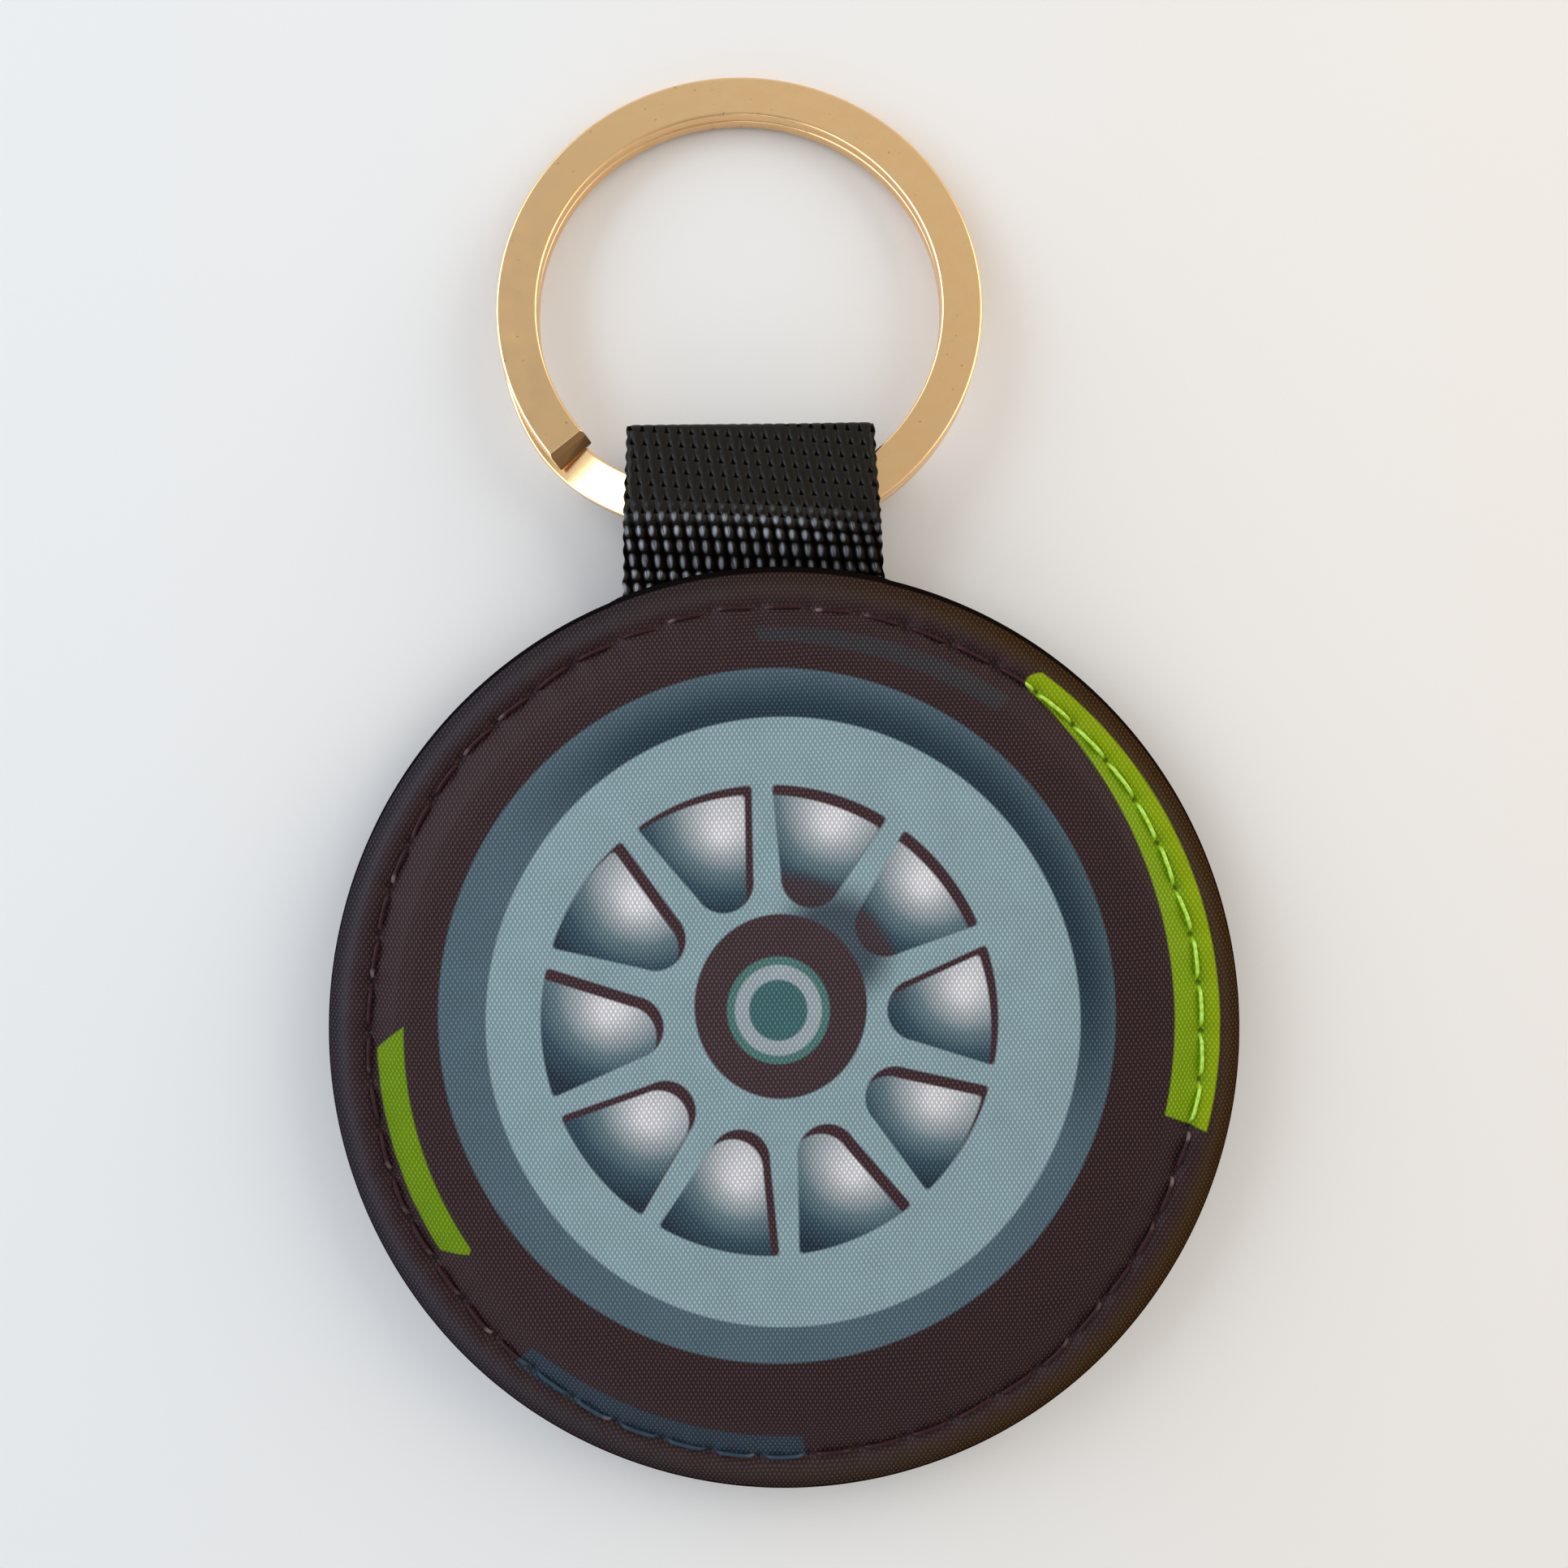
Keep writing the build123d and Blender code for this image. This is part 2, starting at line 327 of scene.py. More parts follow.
wheel_maroon = srgb(42, 23, 26)
# Painted light: the welt is bluish grey on the left and brown on the right, a sheen of the cool and warm soft
# boxes.
welt_painted_cool_light = srgb(49, 47, 54)
welt_painted_warm_light = srgb(56, 38, 9)
window_edge = srgb(58, 36, 42)
rim_grey = srgb(78, 101, 113)
rim_navy = srgb(25, 51, 65)
disc_grey = srgb(139, 165, 173)
disc_shade = srgb(60, 76, 88)
lime_left = srgb(108, 142, 0)
lime_right = srgb(124, 156, 0)
lime_welt = srgb(136, 160, 0)
stroke_dark = srgb(40, 40, 45)
stroke_teal = srgb(38, 54, 68)
hub_maroon = srgb(60, 44, 49)
hub_teal = srgb(60, 103, 107)
hub_green = srgb(74, 118, 114)
hub_white = srgb(156, 169, 176)
window_ramp = (
    (0.0, srgb(24, 44, 58)),
    (0.3, srgb(50, 78, 92)),
    (0.55, srgb(98, 121, 130)),
    (0.78, srgb(166, 174, 180)),
    (1.0, srgb(222, 221, 227)),
)


def length_of(across, up):
    """The square root of the sum of both squares."""
    return (across * across + up * up).math("SQRT")


def ring_distance(x, y, centre_x, centre_y):
    """Distance in the print from a ring's own centre; the print is stretched by a fortieth upwards."""
    return length_of(x - centre_x, (y - centre_y) * (1 / 1.026))


stripe_blur = 0.08


def stripe(x, y, inner, outer, middle_angle, half_angle, taper=0.0, round_end=0.0, slant=0.4):
    """1 on an arc stripe between two radii, either side of a middle angle.

    Taper narrows it inside towards its anticlockwise end, with the square of the way there, and round_end
    rounds that end. Slant is how many degrees further both ends reach for each millimetre outwards.
    """
    turn = np.radians(middle_angle)
    ahead = x * float(np.cos(turn)) + y * float(np.sin(turn))
    beside = y * float(np.cos(turn)) - x * float(np.sin(turn))
    angle = beside.math("ARCTAN2", ahead) * (180 / np.pi)
    radius = length_of(x, y)
    share = (angle * (0.5 / half_angle) + 0.5).math("MAXIMUM", 0.0)
    band = (radius - share * share * taper).step(inner - stripe_blur, inner + stripe_blur)
    band = band * (radius - share * (taper * 0.22)).step(outer + stripe_blur, outer - stripe_blur)
    ends = angle.math("ABSOLUTE") - (radius - inner) * slant
    if round_end:
        off_middle = radius - (outer + inner + taper) / 2
        ends = ends.math("MAXIMUM", angle + off_middle * off_middle * round_end)
    return band * ends.step(half_angle + 0.2, half_angle - 0.2)


half_window = 18.0
# A spoke lies at -14.5 degrees. One turn is added, which keeps the modulo positive.
first_spoke = 374.5
spoke_half_width = 1.25
spoke_spread = 0.042
nose_radius = 1.94
nose_reach = 9.09
window_reach = 14.62
sheen_reach = 11.4


def window_depth(x, y, shift_x=0.0, shift_y=0.0):
    """How deep a point lies inside a wheel window, in millimetres, and its place from the window's middle.

    The ten windows are sectors between tapered spokes, with a round nose towards the hub that meets both
    sides. The circle round them all has its own middle. The point may be shifted.
    """
    x, y = x + 0.54 + shift_x, (y - 0.99) * (1 / 1.03) + shift_y
    radius = length_of(x, y)
    angle = y.math("ARCTAN2", x) * (180 / np.pi)
    fold = (angle + first_spoke).math("MODULO", 2 * half_window) - half_window
    along = radius * (fold * (np.pi / 180)).math("COSINE")
    across = radius * (fold * (np.pi / 180)).math("SINE")
    to_spoke = (half_window - fold.math("ABSOLUTE")) * (np.pi / 180)
    side = radius * (to_spoke.math("SINE") + spoke_spread) - spoke_half_width
    nose = nose_radius - length_of(along - nose_reach, across)
    depth = nose.math("MAXIMUM", side.math("MINIMUM", along - 8.5))
    outer = window_reach - length_of(x + 0.39, y + 0.12)
    centre = (angle - fold) * (np.pi / 180)
    off_x = x - centre.math("COSINE") * sheen_reach
    off_y = y - centre.math("SINE") * sheen_reach
    return depth.math("SMOOTH_MIN", outer, 0.5), off_x, off_y


edge_blur = 0.09
rim_radius = 21.69
disc_radius = 19.02
hub_radius = 5.75


def within(distance, radius):
    """1 where a distance is less than a radius, with a blurred edge."""
    return distance.step(radius + edge_blur, radius - edge_blur)


def printed_wheel():
    """Node group with the cover's print: a plain ten-window wheel in rings, with arc stripes on its tyre."""
    tree = bpy.data.node_groups.new("printed_wheel", "ShaderNodeTree")
    tree.interface.new_socket("Colour", in_out="OUTPUT", socket_type="NodeSocketColor")
    x, y, _ = coordinates(tree)
    x, y = x * 1000, y * 1000
    from_middle = length_of(x, y)
    # Painted light: outside the seam the tyre turns to the welt's painted cool and warm sheen.
    welt_painted_light_tint = layer(tree, x.step(-26, 24), welt_painted_cool_light, welt_painted_warm_light)
    tyre = layer(tree, from_middle.step(27.6, 28.7) * 0.8, wheel_maroon, welt_painted_light_tint)
    top_stroke = stripe(x, y, 24.7, 26.0, middle_angle=75, half_angle=18.5, taper=0.5)
    tyre = layer(tree, top_stroke, tyre, stroke_dark)
    low_stroke = stripe(x, y, 26.0, 27.6, middle_angle=252, half_angle=20.5)
    tyre = layer(tree, low_stroke, tyre, stroke_teal)
    lime_face = layer(tree, x.step(-10, 10), lime_left, lime_right)
    lime = layer(tree, from_middle.step(26.9, 27.8), lime_face, lime_welt)
    long_lime = stripe(x, y, 25.0, 28.05, middle_angle=21.6, half_angle=33.8, taper=2.25, round_end=1.5)
    tyre = layer(tree, long_lime, tyre, lime)
    short_lime = stripe(x, y, 24.4, 26.3, middle_angle=197.4, half_angle=18.3, round_end=1.2, slant=-1.7)
    tyre = layer(tree, short_lime, tyre, lime)

    rim = ring_distance(x, y, -0.46, 1.13)
    disc = ring_distance(x, y, -0.06, 0.74)
    rim_shade = (x * 0.47 + y * 0.88).step(0, 13) * disc.step(22.8, 19.4)
    colour = layer(tree, within(rim, rim_radius), tyre, layer(tree, rim_shade, rim_grey, rim_navy))
    disc_colour = layer(tree, length_of(x - 3.2, y - 5.6).step(4.8, 2.2), disc_grey, disc_shade)
    colour = layer(tree, within(disc, disc_radius), colour, disc_colour)

    hub = length_of((x + 0.21) * 1.045, (y - 1.77) * 0.975)
    depth, off_x, off_y = window_depth(x, y)
    lit, _, _ = window_depth(x, y, 0.46, 0.62)
    tone = off_y * 0.065 + off_x * 0.03 - length_of(off_x - 0.6, off_y - 0.9) * 0.14 + 0.98
    ramp = tree.nodes.new("ShaderNodeValToRGB")
    for k, (position, shade_colour) in enumerate(window_ramp):
        stop = ramp.color_ramp.elements[k] if k < 2 else ramp.color_ramp.elements.new(position)
        stop.position = position
        stop.color = shade_colour
    tree.links.new(tone.socket, ramp.inputs[0])
    nose_shade = hub.step(8.9, 7.7) * (x * 0.6 + y * 0.8).step(5.6, 7.4) * 0.85
    window = layer(tree, nose_shade, ramp.outputs["Color"], hub_maroon)
    window = layer(tree, lit.step(-edge_blur, edge_blur), window_edge, window)
    colour = layer(tree, depth.step(-edge_blur, edge_blur), colour, window)

    colour = layer(tree, within(hub, hub_radius), colour, hub_maroon)
    cap = length_of((x + 0.36) * 1.02, (y - 1.53) * 0.975)
    for radius, cap_colour in ((3.35, hub_green), (2.83, hub_white), (1.9, hub_teal)):
        colour = layer(tree, within(cap, radius), colour, cap_colour)
    out = tree.nodes.new("NodeGroupOutput")
    tree.links.new(colour, out.inputs[0])
    return tree


wheel_print = printed_wheel()


def print_output(tree):
    """The print's colour in a material's tree."""
    group = tree.nodes.new("ShaderNodeGroup")
    group.node_tree = wheel_print
    return group.outputs[0]


def on_lime(tree):
    """1 on the lime stripes, from the green and blue parts of the print."""
    parts = tree.nodes.new("ShaderNodeSeparateColor")
    tree.links.new(print_output(tree), parts.inputs[0])
    return (Field(tree, parts.outputs[1]) - Field(tree, parts.outputs[2])).step(0.1, 0.2)


def noise(tree, scale, detail=3.0):
    """Noise over Object coordinates, about 0.5 in the mean; scale is in features to the metre."""
    node = tree.nodes.new("ShaderNodeTexNoise")
    node.inputs["Scale"].default_value = scale
    node.inputs["Detail"].default_value = detail
    tree.links.new(tree.nodes.new("ShaderNodeTexCoord").outputs["Object"], node.inputs["Vector"])
    return Field(tree, node.outputs["Fac"])


weave_across = 0.30
weave_up = 0.24


def weave(tree):
    """0 to 1 over a plain weave: the product of two cosines, so that its peaks are staggered row by row.

    Both directions lean by about a thirtieth, and noise makes the yarns stray.
    """
    x, y, _ = coordinates(tree)
    stray = noise(tree, 160.0, 1.0) * 0.5
    wave_x = ((x * 1000 + y * 30 + stray) * (2 * np.pi / weave_across)).math("COSINE")
    wave_y = ((y * 1000 - x * 25 + stray) * (np.pi / weave_up)).math("COSINE")
    return wave_x * wave_y * 0.5 + 0.5


def add_bump(tree, shader, height, distance, strength=1.0, under=None):
    """Bump from a field; distance is in millimetres. Under is a bump that it goes on top of."""
    bump = tree.nodes.new("ShaderNodeBump")
    bump.inputs["Distance"].default_value = distance * mm
    bump.inputs["Strength"].default_value = strength
    tree.links.new(height.socket, bump.inputs["Height"])
    if under:
        tree.links.new(under.outputs[0], bump.inputs["Normal"])
    tree.links.new(bump.outputs[0], shader.inputs["Normal"])
    return bump


def scaled(tree, colour, share):
    """A colour times a field."""
    node = tree.nodes.new("ShaderNodeVectorMath")
    node.operation = "SCALE"
    if isinstance(colour, bpy.types.NodeSocket):
        tree.links.new(colour, node.inputs[0])
    else:
        node.inputs[0].default_value = colour[:3]
    tree.links.new(share.socket, node.inputs["Scale"])
    return node.outputs[0]


def hole_shade(tree):
    """1 on each needle hole of the seam, falling to 0 about a quarter of a millimetre from its middle."""
    x, y, _ = coordinates(tree)
    x, y = x * 1000, y * 1000
    angle = y.math("ARCTAN2", x)
    seam = seam_wander(angle, lambda field: field.math("SINE")) + seam_radius
    along = ((angle + 2 * np.pi) * (1 / pitch) + 0.5).math("FRACT") - 0.5
    away = length_of(along * (pitch * seam_radius), length_of(x, y) - seam)
    return away.step(0.24, 0.08)


printed_fabric, tree, shader = new_material("printed_fabric")
dots = weave(tree)
mottle = noise(tree, 420.0, 4.0)
cover_x, cover_y, _ = coordinates(tree)
from_middle = length_of(cover_x * 1000, cover_y * 1000)
dots_seen = from_middle.step(28.2, 26.9) * 0.3 + 0.7
# Painted highlight and shade: the weave's crowns are made lighter and its hollows darker, with random mottle
# over it.
weave_highlight_and_mottle = (dots.step(0.45, 0.98) - 0.55) * dots_seen * 0.7 + mottle * 0.22 + 1.0
cloth = scaled(tree, print_output(tree), weave_highlight_and_mottle)
# Painted highlight: pale dots on the weave's crowns, left off the lime.
painted_weave_highlight = dots.step(0.6, 1.0) * dots_seen * (1 - on_lime(tree)) * 0.1
cloth = layer(tree, painted_weave_highlight, cloth, srgb(208, 176, 180))
# Painted shade: the outermost edge, where the hem turns under, is darkened almost to black.
cloth = layer(tree, from_middle.step(29.60, 29.72) * 0.9, cloth, srgb(10, 8, 8))
tree.links.new(layer(tree, hole_shade(tree) * 0.6, cloth, srgb(10, 8, 9)), shader.inputs["Base Color"])
shader.inputs["Roughness"].default_value = 0.5
tree.links.new((from_middle.step(29.4, 28.0) * 0.13).socket, shader.inputs["Specular IOR Level"])
tree.links.new((from_middle.step(29.0, 27.5) * 0.02).socket, shader.inputs["Sheen Weight"])
shader.inputs["Sheen Roughness"].default_value = 0.4
creases = add_bump(tree, shader, noise(tree, 700.0, 2.0), 0.06, 0.5)
add_bump(tree, shader, dots, 0.035, 0.9, creases)
front = new_cover("front_cover_cloth", 1, 0.5, printed_fabric)
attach(front, "pad")
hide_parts("front_cover", "front_foam")

# Back cover
# The same disc over foam in a plain dark polyester weave, with the same turned edge. It is flat
# where it lies on the table, and the one seam holds it to the front cover.
plain_fabric, tree, shader = new_material("plain_fabric")
dots = weave(tree)
# Painted highlight and shade: the weave's crowns are lighter and its hollows darker, with random mottle over
# it.
weave_highlight_and_mottle = dots.step(0.4, 0.98) * 0.7 + noise(tree, 420.0, 4.0) * 0.3 + 0.6
cloth = scaled(tree, srgb(38, 34, 37), weave_highlight_and_mottle)
tree.links.new(layer(tree, hole_shade(tree) * 0.9, cloth, srgb(6, 6, 6)), shader.inputs["Base Color"])
shader.inputs["Roughness"].default_value = 0.6
shader.inputs["Specular IOR Level"].default_value = 0.2
shader.inputs["Sheen Weight"].default_value = 0.05
add_bump(tree, shader, dots, 0.035, 0.9)
back = new_cover("back_cover_cloth", -1, 0.0, plain_fabric)
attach(back, "pad")
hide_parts("back_cover", "back_foam")

# Webbing
# One strip of black ribbed polypropylene webbing, folded round the ring, its two ends sewn in
# between the covers. Its coarse weave stands up in slanting columns of knuckles.
webbing_thickness = 0.86
fold_half_width = 7.86
base_spread = 0.6
knuckle_columns = 20
points_per_knuckle = 10
back_points = 24
rounded_edge = 0.018
flat_rise = 0.04
open_rise = 0.26
pit_depth = 0.1
column_lean = 0.21
row_slope = 0.064
low_row_slope = 0.036
rows_start_y = 38.6
fold_row_pitch = 0.889
# Pitch of the rows at some places along the upper leg
row_pitches = ((29.5, 1.03), (30.8, 1.03), (31.6, 0.78), (33.4, 0.78), (34.2, 0.889), (39.0, 0.889))
# The strip's middle line as (y, z): the lower tail and leg, the fold, the upper leg as it crosses the
# ring or drops beside it, and the upper tail
low_tail = 2.725
high_tail = 3.675
below = [(22.0, low_tail), (30.0, low_tail), (31.2, 2.66), (38.5, 2.58), (38.9, 5.51)]
over_ring = [(33.2, 6.25), (32.55, 6.22), (32.1, 6.08), (31.75, 5.8), (31.24, 5.14), (30.62, 4.3)]
beside_ring = [(34.4, 6.10), (33.3, 6.08), (32.2, 5.45), (31.3, 4.70), (30.7, 4.15), (30.4, 3.9)]
above = [(30.1, 3.76), (29.4, high_tail), (22.0, high_tail)]


def rounded_like(corners, lengths_of):
    """A run through corners, rounded by a moving mean, sampled by the lengths of another run of as many."""
    corners = np.array(corners, float)
    along = np.concatenate([[0], np.cumsum(np.hypot(*np.diff(np.array(lengths_of), axis=0).T))])
    spots = np.linspace(0, along[-1], int(along[-1] / 0.1) + 2)
    even = np.stack([np.interp(spots, along, corners[:, k]) for k in (0, 1)], axis=1)
    weight = np.hanning(13)[1:-1] / np.hanning(13).sum()
    ends = np.concatenate([np.repeat(even[:1], 5, axis=0), even, np.repeat(even[-1:], 5, axis=0)])
    return np.stack([np.convolve(ends[:, k], weight, "valid") for k in (0, 1)], axis=1)


def knuckle_height(column, row, rise):
    """Height of the weave in millimetres: pillows of a given rise between pits.

    Column and row are whole at the pits, which are bells in both directions. A pillow falls off with the
    square of the way across and the fourth power of the way along.
    """
    across = 2 * ((column % 1) - 0.5)
    along = 2 * ((row % 1) - 0.5)
    to_pit = (column + 0.5) % 1 - 0.5
    past_pit = (row + 0.5) % 1 - 0.5
    pit = np.exp(-(to_pit / 0.17) ** 2 - ((past_pit + 0.02) / 0.24) ** 2)
    return rise * ((1 - across ** 2) * (1 - 0.8 * along ** 4) - 0.6) - pit_depth * pit


def map_points(piece, name, values):
    """A UV map from two values for each point of a piece, copied to the corners of its faces."""
    corner_of = np.empty(len(piece.data.loops), int)
    piece.data.loops.foreach_get("vertex_index", corner_of)
    piece.data.uv_layers.new(name=name).data.foreach_set("uv", values.reshape(-1, 2)[corner_of].ravel())


high_line = rounded_like(below + over_ring + above, below + over_ring + above)
side_line = rounded_like(below + beside_ring + above, below + over_ring + above)
path = np.concatenate([[0], np.cumsum(np.hypot(*np.diff(high_line, axis=0).T))])
# Deep inside the pad, one ring of points in twelve is enough
inside_pad = high_line[:, 0] < 27.5
keep = ~inside_pad | (np.arange(len(high_line)) % 12 == 0)
far_end = np.argmax(high_line[:, 0])

# Round the strip: share is the place across it from -1 to 1, and face_up is 1 on its outer face
outer_columns = knuckle_columns * points_per_knuckle + 1
spread = np.linspace(-1, 1, outer_columns)
back_spread = np.linspace(1, -1, back_points)
edge_turn = np.linspace(0, np.pi, 7)[1:-1]
edge = 1 + rounded_edge * np.sin(edge_turn)
share = np.concatenate([spread, edge, back_spread, -edge])
outer_face, inner_face = np.ones(outer_columns), -np.ones(back_points)
face_up = np.concatenate([outer_face, np.cos(edge_turn), inner_face, -np.cos(edge_turn)])
fade = np.clip((1 - np.abs(share)) / 0.03, 0, 1)

# The upper leg drops beside the ring, where the ring's near edge lies further out. Seen from above, the
# tilted ring is an ellipse, slightly shorter along than across.
ring_x, ring_y, ring_across_radius, ring_shortened = -2.95, 47.45, 16.0, 0.99
beside_middle = share * 8.15 + strap_x - ring_x
ring_near = ring_y - ring_shortened * np.sqrt(ring_across_radius ** 2 - beside_middle ** 2)
droop = np.clip((ring_near - 31.6) / 1.8, 0, 1.1)[None, :, None]
line = (high_line[:, None] + droop * (side_line - high_line)[:, None])[keep]
slope = np.gradient(line, axis=0)
slope /= np.hypot(slope[..., :1], slope[..., 1:])
normal = np.stack([slope[..., 1], -slope[..., 0]], axis=-1)
line_y = line[..., 0]

# Rows of knuckles, counted on the upper leg from a table of their pitches, and lower down along the path
row_table_y = np.linspace(22, rows_start_y, 400)
row_rate = 1 / np.interp(row_table_y, *zip(*row_pitches))
row_table = np.concatenate([[0], np.cumsum((row_rate[1:] + row_rate[:-1]) / 2 * np.diff(row_table_y))])
top_start = far_end + np.argmax(high_line[far_end:, 0] < rows_start_y)
top_side = (np.arange(len(keep)) >= top_start)[keep][:, None]
rows_before = (path[keep, None] - path[top_start]) / fold_row_pitch
rows = np.where(top_side, row_table[-1] - np.interp(line_y, row_table_y, row_table), rows_before)
columns = (share[None] * 0.5 + 0.5) * knuckle_columns + 0 * rows
pit_row = rows + 0.325 - (row_slope - low_row_slope * np.clip((rows - 4.5) / 3.5, 0, 1)) * columns
pit_column = columns - column_lean * (pit_row - 1) - 0.33

# The strip widens towards the pad, its weave opens there, and the fold hangs a little lower on one side
to_base = np.clip((39.2 - line_y) / 10, 0, 1)
half_width = fold_half_width + base_spread * to_base ** 1.5
centre_x = -2.16 + 0.18 * to_base
rise = flat_rise + open_rise * np.clip((33.6 - line_y) / 1.3, 0, 1) * top_side
knuckles = knuckle_height(pit_column, pit_row, rise) * (1 - 0.8 * np.clip(line_y * 2 - 77, 0, 1))
beside = 1 - np.clip(droop[..., 0], 0, 1)
pressed = 1.35 * np.exp(-((line_y - 31.65) / 0.55) ** 2) * top_side * beside
outward = webbing_thickness / 2 * face_up[None] * (1 - pressed * (face_up < 0))
outward = outward + (knuckles * fade - 0.08 * (1 - fade)) * (face_up == 1)
wavy_edge = 0.05 * np.cos(2 * np.pi * pit_row) * np.clip(np.abs(share) * 12 - 11, 0, 1)
x = centre_x + (half_width + wavy_edge) * share
hang = 0.012 * (x - centre_x) * np.clip(1 - to_base, 0, 1)
y = line_y + normal[..., 0] * outward + hang
z = line[..., 1] + normal[..., 1] * outward
points = np.stack([x, y, z], axis=-1)
count_along, count_round = points.shape[:2]
tube = tube_faces(count_along, count_round)
round_end = np.arange(count_round)[None]
ends = [round_end[:, ::-1], round_end + (count_along - 1) * count_round]

webbing_finish, tree, shader = new_material("black_webbing")
webbing_piece = new_piece("webbing_strip", points.reshape(-1, 3), [tube] + ends, webbing_finish)
map_points(webbing_piece, "fibres", np.stack([pit_column, pit_row], axis=-1))
column, row, _ = coordinates(tree, name="fibres")
strand = tree.nodes.new("ShaderNodeTexNoise")
strand.inputs["Scale"].default_value = 1.0
strand.inputs["Detail"].default_value = 3.0
stretch = tree.nodes.new("ShaderNodeCombineXYZ")
tree.links.new((column * 9).socket, stretch.inputs[0])
tree.links.new((row * 0.8).socket, stretch.inputs[1])
tree.links.new(stretch.outputs[0], strand.inputs["Vector"])
fibres = Field(tree, strand.outputs["Fac"])
to_pit = ((column + 0.5).math("FRACT") - 0.5).math("ABSOLUTE")
past_pit = (row + 0.5).math("FRACT") - 0.5
pit_width = (past_pit + 0.26) * 0.5
# A pit is a small triangle, darkened almost to black as painted shade. Gaps open between the knuckles near
# the pad, darkened as painted shade, and each knuckle there has a painted glint.
pit = (pit_width - to_pit).step(-0.05, 0.05) * past_pit.step(-0.27, -0.18) * past_pit.step(0.24, 0.16)
level = row + column * 0.5 * row_slope
across = column.math("FRACT") - 0.5
down = row.math("FRACT") - 0.5 + fibres * 0.1
gap = length_of(across * 2.3, down * 2.0).step(0.66, 1.05) * level.step(6.0, 7.6)
glint = length_of(across * 3.6 + down * 0.9 + 0.4, down * 2.3 + 0.2).step(1.05, 0.2)
glint = glint * level.step(5.2, 7.2) * fibres.step(0.25, 0.6) * (column.step(22, 9) * 0.7 + 0.3)
strands = layer(tree, fibres.step(0.35, 0.75), srgb(14, 9, 4), srgb(23, 17, 11))
strands = layer(tree, glint, strands, srgb(148, 154, 166))
strands = layer(tree, pit.math("MAXIMUM", gap * 0.4), strands, srgb(5, 4, 4))
tree.links.new(strands, shader.inputs["Base Color"])
tree.links.new((glint * 0.4 + (1 - pit) * (1 - gap) * 0.14).socket, shader.inputs["Specular IOR Level"])
shader.inputs["Roughness"].default_value = 0.4
shader.inputs["Sheen Weight"].default_value = 0.01
shader.inputs["Sheen Tint"].default_value = (0.7, 0.83, 1.0, 1.0)
add_bump(tree, shader, fibres, 0.04, 0.6)
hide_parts("webbing_tails", "webbing_loop")
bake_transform(webbing_piece)

# Split ring
# One flat plated steel wire wound twice into a 32 mm ring, with a joggle where it steps from
# the lower level to the upper one. Both ends are sheared to a bevel. It hangs in the webbing's eye.
ring_centre = np.array([-2.95, 47.34194, 2.93105])
ring_tilt = np.radians(7.40948)
ring_across = np.array([1.0, 0.0, 0.0])
ring_up = np.array([0.0, np.cos(ring_tilt), -np.sin(ring_tilt)])
ring_normal = np.array([0.0, np.sin(ring_tilt), np.cos(ring_tilt)])
band_middle = 14.65
band_half_width = 1.35
wire_half_height = 0.425
wire_edge = 0.16
level_height = 0.45
joggle_start = 225.5
joggle_turn = 24.0
joggle_roll = 10.0
joggle_bulge = 0.35
end_gap = 2.0
bevel_degrees = 3.6

# The wire's section, from the outer flank over the top, round to the flank again
corner_turn = np.radians(np.linspace(0, 90, 6))
quarter = np.stack([np.cos(corner_turn), np.sin(corner_turn)], axis=1) * wire_edge
quarter += [band_half_width - wire_edge, wire_half_height - wire_edge]
flank = np.array([[band_half_width, wire_half_height - wire_edge - 0.03]])
crest = np.array([[band_half_width - wire_edge - 0.03, wire_half_height]])
quarter = np.concatenate([flank, quarter, crest])
section = np.concatenate([quarter, quarter[::-1] * [-1, 1], -quarter, quarter[::-1] * [1, -1]])
# The winding: its level climbs by a smooth step over the joggle, where the wire also rolls and bulges
first_angle = joggle_start - (360 - joggle_turn - end_gap)
last_angle = joggle_start + joggle_turn + (360 - joggle_turn - end_gap)
wind = np.linspace(0, 1, 900)[:, None]
cut_first = bevel_degrees * np.clip(-section[:, 1] / wire_half_height, 0, 1)
cut_last = bevel_degrees * np.clip(section[:, 1] / wire_half_height, 0, 1)
turn = first_angle + cut_first + wind * (last_angle - cut_last - first_angle - cut_first)
climb = np.clip((turn - joggle_start) / joggle_turn, 0, 1)
roll = np.radians(joggle_roll) * np.exp(-((turn - joggle_start) / 12) ** 2)
level = level_height * (2 * climb * climb * (3 - 2 * climb) - 1) + section[:, 1] * np.cos(roll)
level -= (band_half_width + section[:, 0]) * np.sin(roll)
bulge = joggle_bulge * np.exp(-((turn - joggle_start + 9) / 18) ** 2)
reach = band_middle + bulge + section[:, 0] * np.cos(roll) + section[:, 1] * np.sin(roll)
turn = np.radians(turn)
points = ring_centre + (
    (reach * np.cos(turn))[..., None] * ring_across
    + (reach * np.sin(turn))[..., None] * ring_up
    + level[..., None] * ring_normal
)
count_along, count_round = points.shape[:2]
tube = tube_faces(count_along, count_round)
half_round = count_round // 2
low = np.arange(half_round // 2 - 1)
upper_cap = np.stack([low, low + 1, half_round - 2 - low, half_round - 1 - low], axis=1)
cap = np.concatenate([upper_cap, upper_cap + half_round, [[half_round - 1, half_round, count_round - 1, 0]]])
caps = [cap[:, ::-1], cap + (count_along - 1) * count_round]

plated_steel, tree, shader = new_material("plated_steel")
wear = noise(tree, 900.0, 6.0)
speck = noise(tree, 2600.0, 2.0).step(0.70, 0.78)
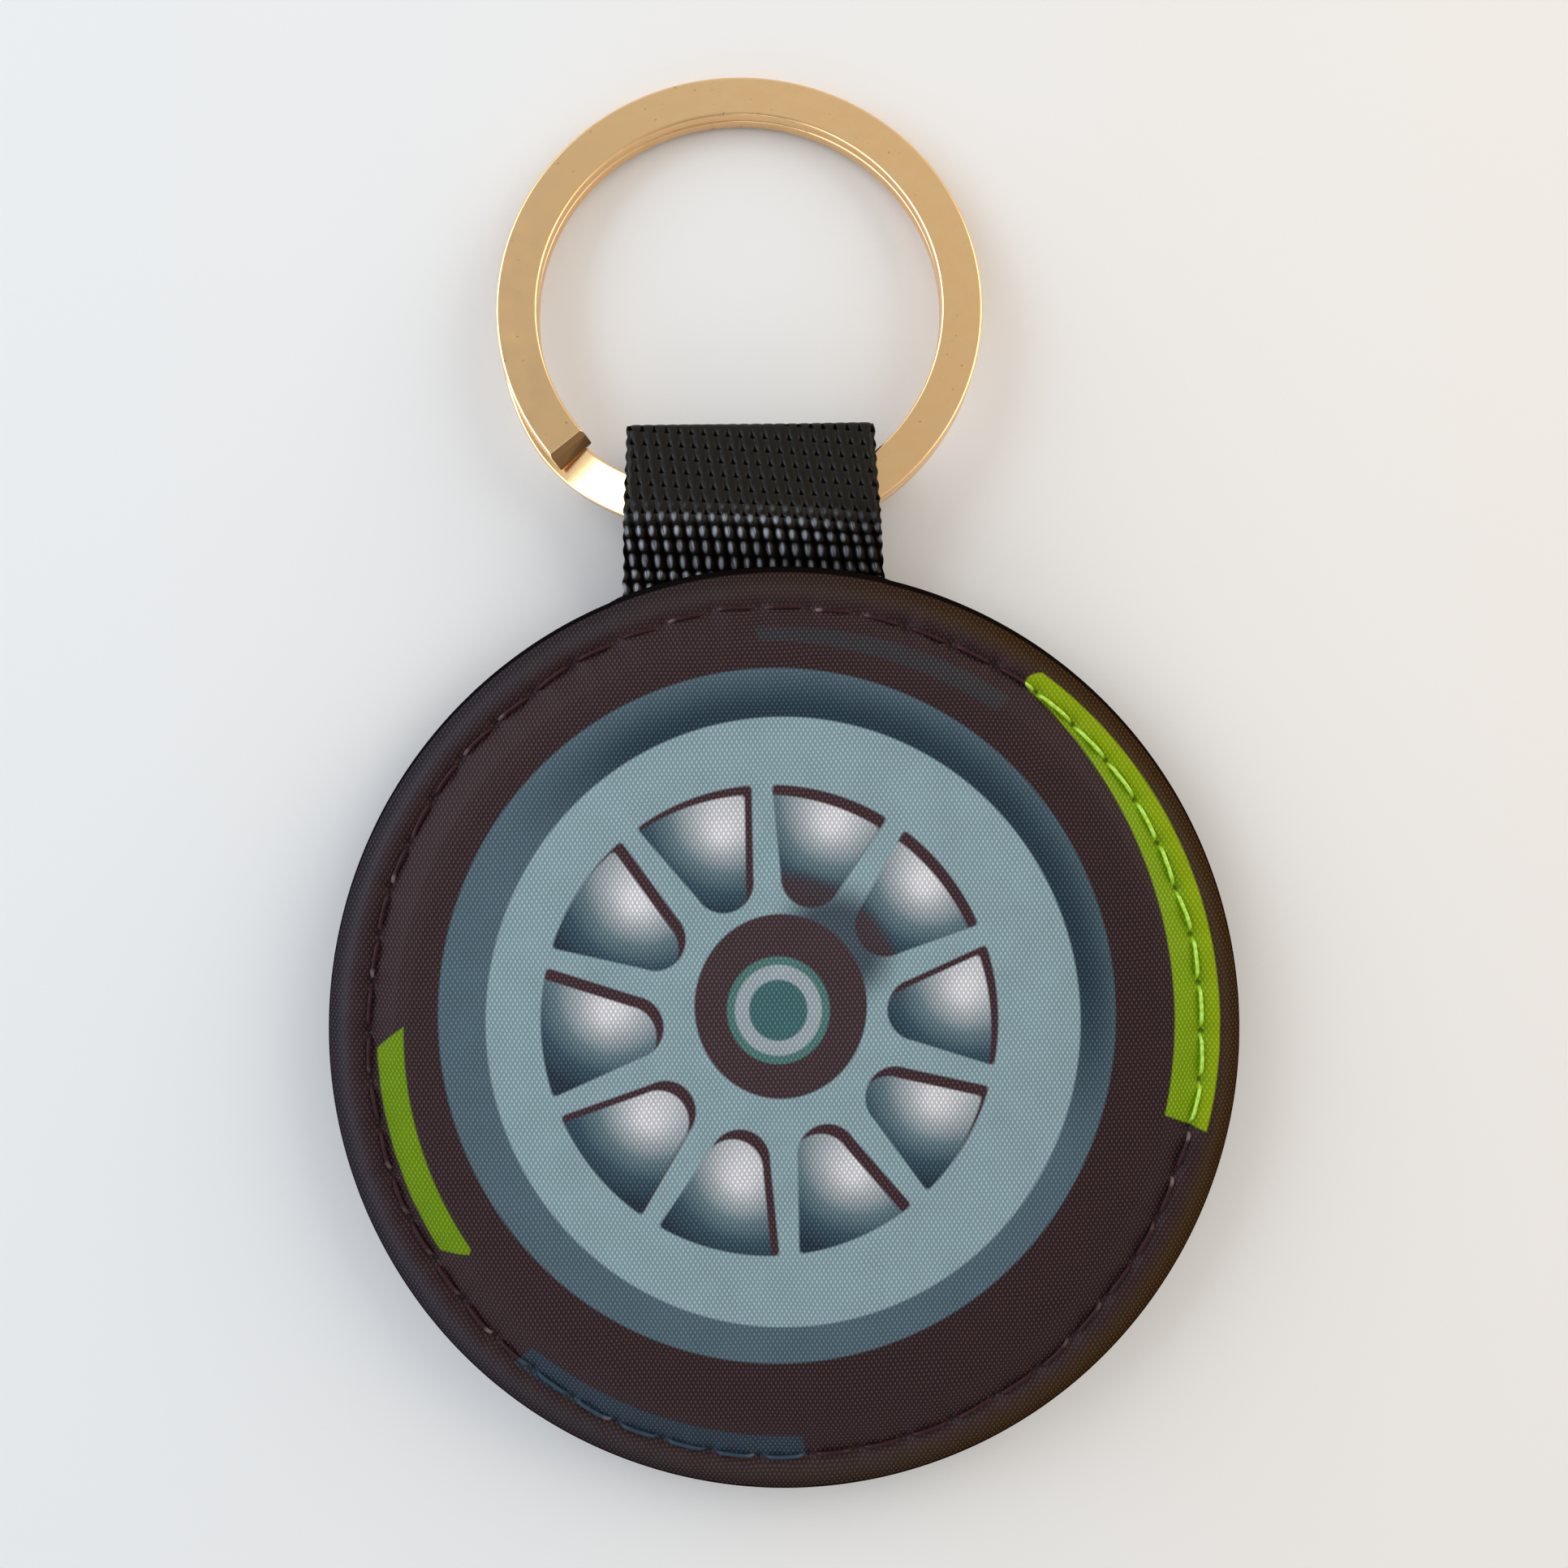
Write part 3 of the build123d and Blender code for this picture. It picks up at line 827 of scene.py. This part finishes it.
# The plating's pale gold tint is partly its own colour and partly a painted warm reflection.
metal = layer(tree, wear.step(0.35, 0.7) * 0.35, srgb(240, 199, 146), srgb(230, 184, 126))
metal = layer(tree, speck * 0.5, metal, srgb(120, 84, 52))
sheared, _, _ = coordinates(tree, name="sheared")
tree.links.new(layer(tree, sheared * 0.8, metal, srgb(92, 60, 36)), shader.inputs["Base Color"])
shader.inputs["Metallic"].default_value = 1.0
tree.links.new((wear * 0.14 + sheared * 0.15 + 0.16).socket, shader.inputs["Roughness"])
add_bump(tree, shader, wear, 0.01, 0.25)
ring_piece = new_piece("split_ring_wire", points.reshape(-1, 3), [tube] + caps, plated_steel)
on_cap = np.arange(len(ring_piece.data.polygons)) >= len(tube)
ring_piece.data.polygons.foreach_set("use_smooth", ~on_cap)
cut_map = np.stack([np.repeat(on_cap, 4), np.repeat(on_cap, 4)], axis=1).astype(float)
ring_piece.data.uv_layers.new(name="sheared").data.foreach_set("uv", cut_map.ravel())
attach(ring_piece, "ring")
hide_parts("split_ring")

# Sewing thread
# One row of lock stitches on each face: a glossy polyester thread that goes down at each needle
# hole, and has taken the print's colours where it lies on the print.
thread_radius = 0.135
around = 8
stages = 13
ply_twist = 2.5


def stitch_row(side):
    """Points of all stitches of one face: thin bent tubes from hole to hole, sunk at both ends.

    A tube's middle follows the seam, its height is an arch, and its radius swells in three plies that
    twist along it.
    """
    rng = np.random.default_rng(21 if side > 0 else 22)
    number = np.arange(stitch_count)[:, None, None]
    along = np.linspace(0, 1, stages)[None, :, None]
    spin = np.linspace(0, 2 * np.pi, around, endpoint=False)[None, None]
    lean = rng.normal(0, 0.05, (stitch_count, 1, 1))
    tight = rng.uniform(0.8, 1.1, (stitch_count, 1, 1))
    angle = (number + 0.06 + 0.88 * along) * pitch
    ends = np.abs(2 * along - 1)
    arch = 2.26 + 0.13 * tight * (1 - ends ** 2) - 0.42 * np.clip(ends - 0.72, 0, 1) / 0.28
    plies = 1 + 0.10 * np.cos(3 * spin + 2 * np.pi * ply_twist * along)
    thick = thread_radius * plies * (1 - 0.25 * ends ** 6)
    middle_radius = seam_radius + seam_wander(angle, np.sin) + lean * (2 * along - 1)
    radius = middle_radius + thick * np.cos(spin)
    height = middle + side * (arch + thick * np.sin(spin))
    return np.stack([radius * np.cos(angle), radius * np.sin(angle), height + 0 * radius], axis=-1)


def new_stitches(name, side, material):
    """The mesh of one row of stitches, each tube closed at both ends, mapped along its length as "along"."""
    points = stitch_row(side)
    tube = tube_faces(stages, around)
    first = np.arange(around)[None, ::-1]
    last = (stages - 1) * around + np.arange(around)[None]
    start = (np.arange(stitch_count) * stages * around)[:, None, None]
    order = slice(None, None, 1 if side > 0 else -1)
    parts = [(start + part[None, :, order]).reshape(-1, part.shape[1]) for part in (tube, first, last)]
    row = new_piece(name, points.reshape(-1, 3), parts, material)
    length = np.tile(np.repeat(np.linspace(0, 1, stages), around), stitch_count)
    map_points(row, "along", np.stack([length, 0 * length], axis=1))
    return row


def thread_finish(name, colour_of, gloss_and_highlight_of):
    """Thread in a colour with fine fibres, lightened by painted light against the shade of its groove.

    Where its gloss share is 1 it is shiny and has a painted highlight; where it enters its hole it has a
    painted glint.
    """
    made, tree, shader = new_material(name)
    fibre = noise(tree, 3500.0, 3.0)
    along, _, _ = coordinates(tree, name="along")
    gloss_and_highlight = gloss_and_highlight_of(tree)
    # Lighter than the colour it takes, a painted light against the groove's shade, and lighter still by a
    # painted highlight where glossy.
    colour = scaled(tree, colour_of(tree), fibre * 0.6 + gloss_and_highlight * 0.3 + 1.25)
    # Painted glint: paler near the end of each stitch, where it turns into its hole.
    painted_hole_glint = along.step(0.70, 0.86) * along.step(0.98, 0.93) * noise(tree, 180.0, 1.0).step(0.46, 0.66)
    # Painted highlight: light green streaks where the thread is glossy.
    colour = layer(tree, gloss_and_highlight * fibre.step(0.4, 0.6) * 0.55, colour, srgb(190, 250, 130))
    colour = layer(tree, painted_hole_glint * (1 - gloss_and_highlight) * 0.5, colour, srgb(165, 145, 150))
    tree.links.new(colour, shader.inputs["Base Color"])
    tree.links.new((gloss_and_highlight * 0.6 + 0.1).socket, shader.inputs["Specular IOR Level"])
    shader.inputs["Roughness"].default_value = 0.34
    add_bump(tree, shader, fibre, 0.02, 0.6)
    return made


dyed_thread = thread_finish("print_dyed_thread", print_output, on_lime)
needle_row = new_stitches("needle_thread", 1, dyed_thread)
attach(needle_row, "pad")
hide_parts("needle_stitches")


def plain_dark(tree):
    """The colour of the back's thread, the same all along."""
    return srgb(46, 38, 42)


def patchy_gloss_and_highlight(tree):
    """Broad noise along the thread, up to 0.3: shinier there, and lighter by a painted highlight."""
    return noise(tree, 90.0, 0.0) * 0.3


dark_thread = thread_finish("dark_thread", plain_dark, patchy_gloss_and_highlight)
bobbin_row = new_stitches("bobbin_thread", -1, dark_thread)
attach(bobbin_row, "pad")
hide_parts("bobbin_stitches")
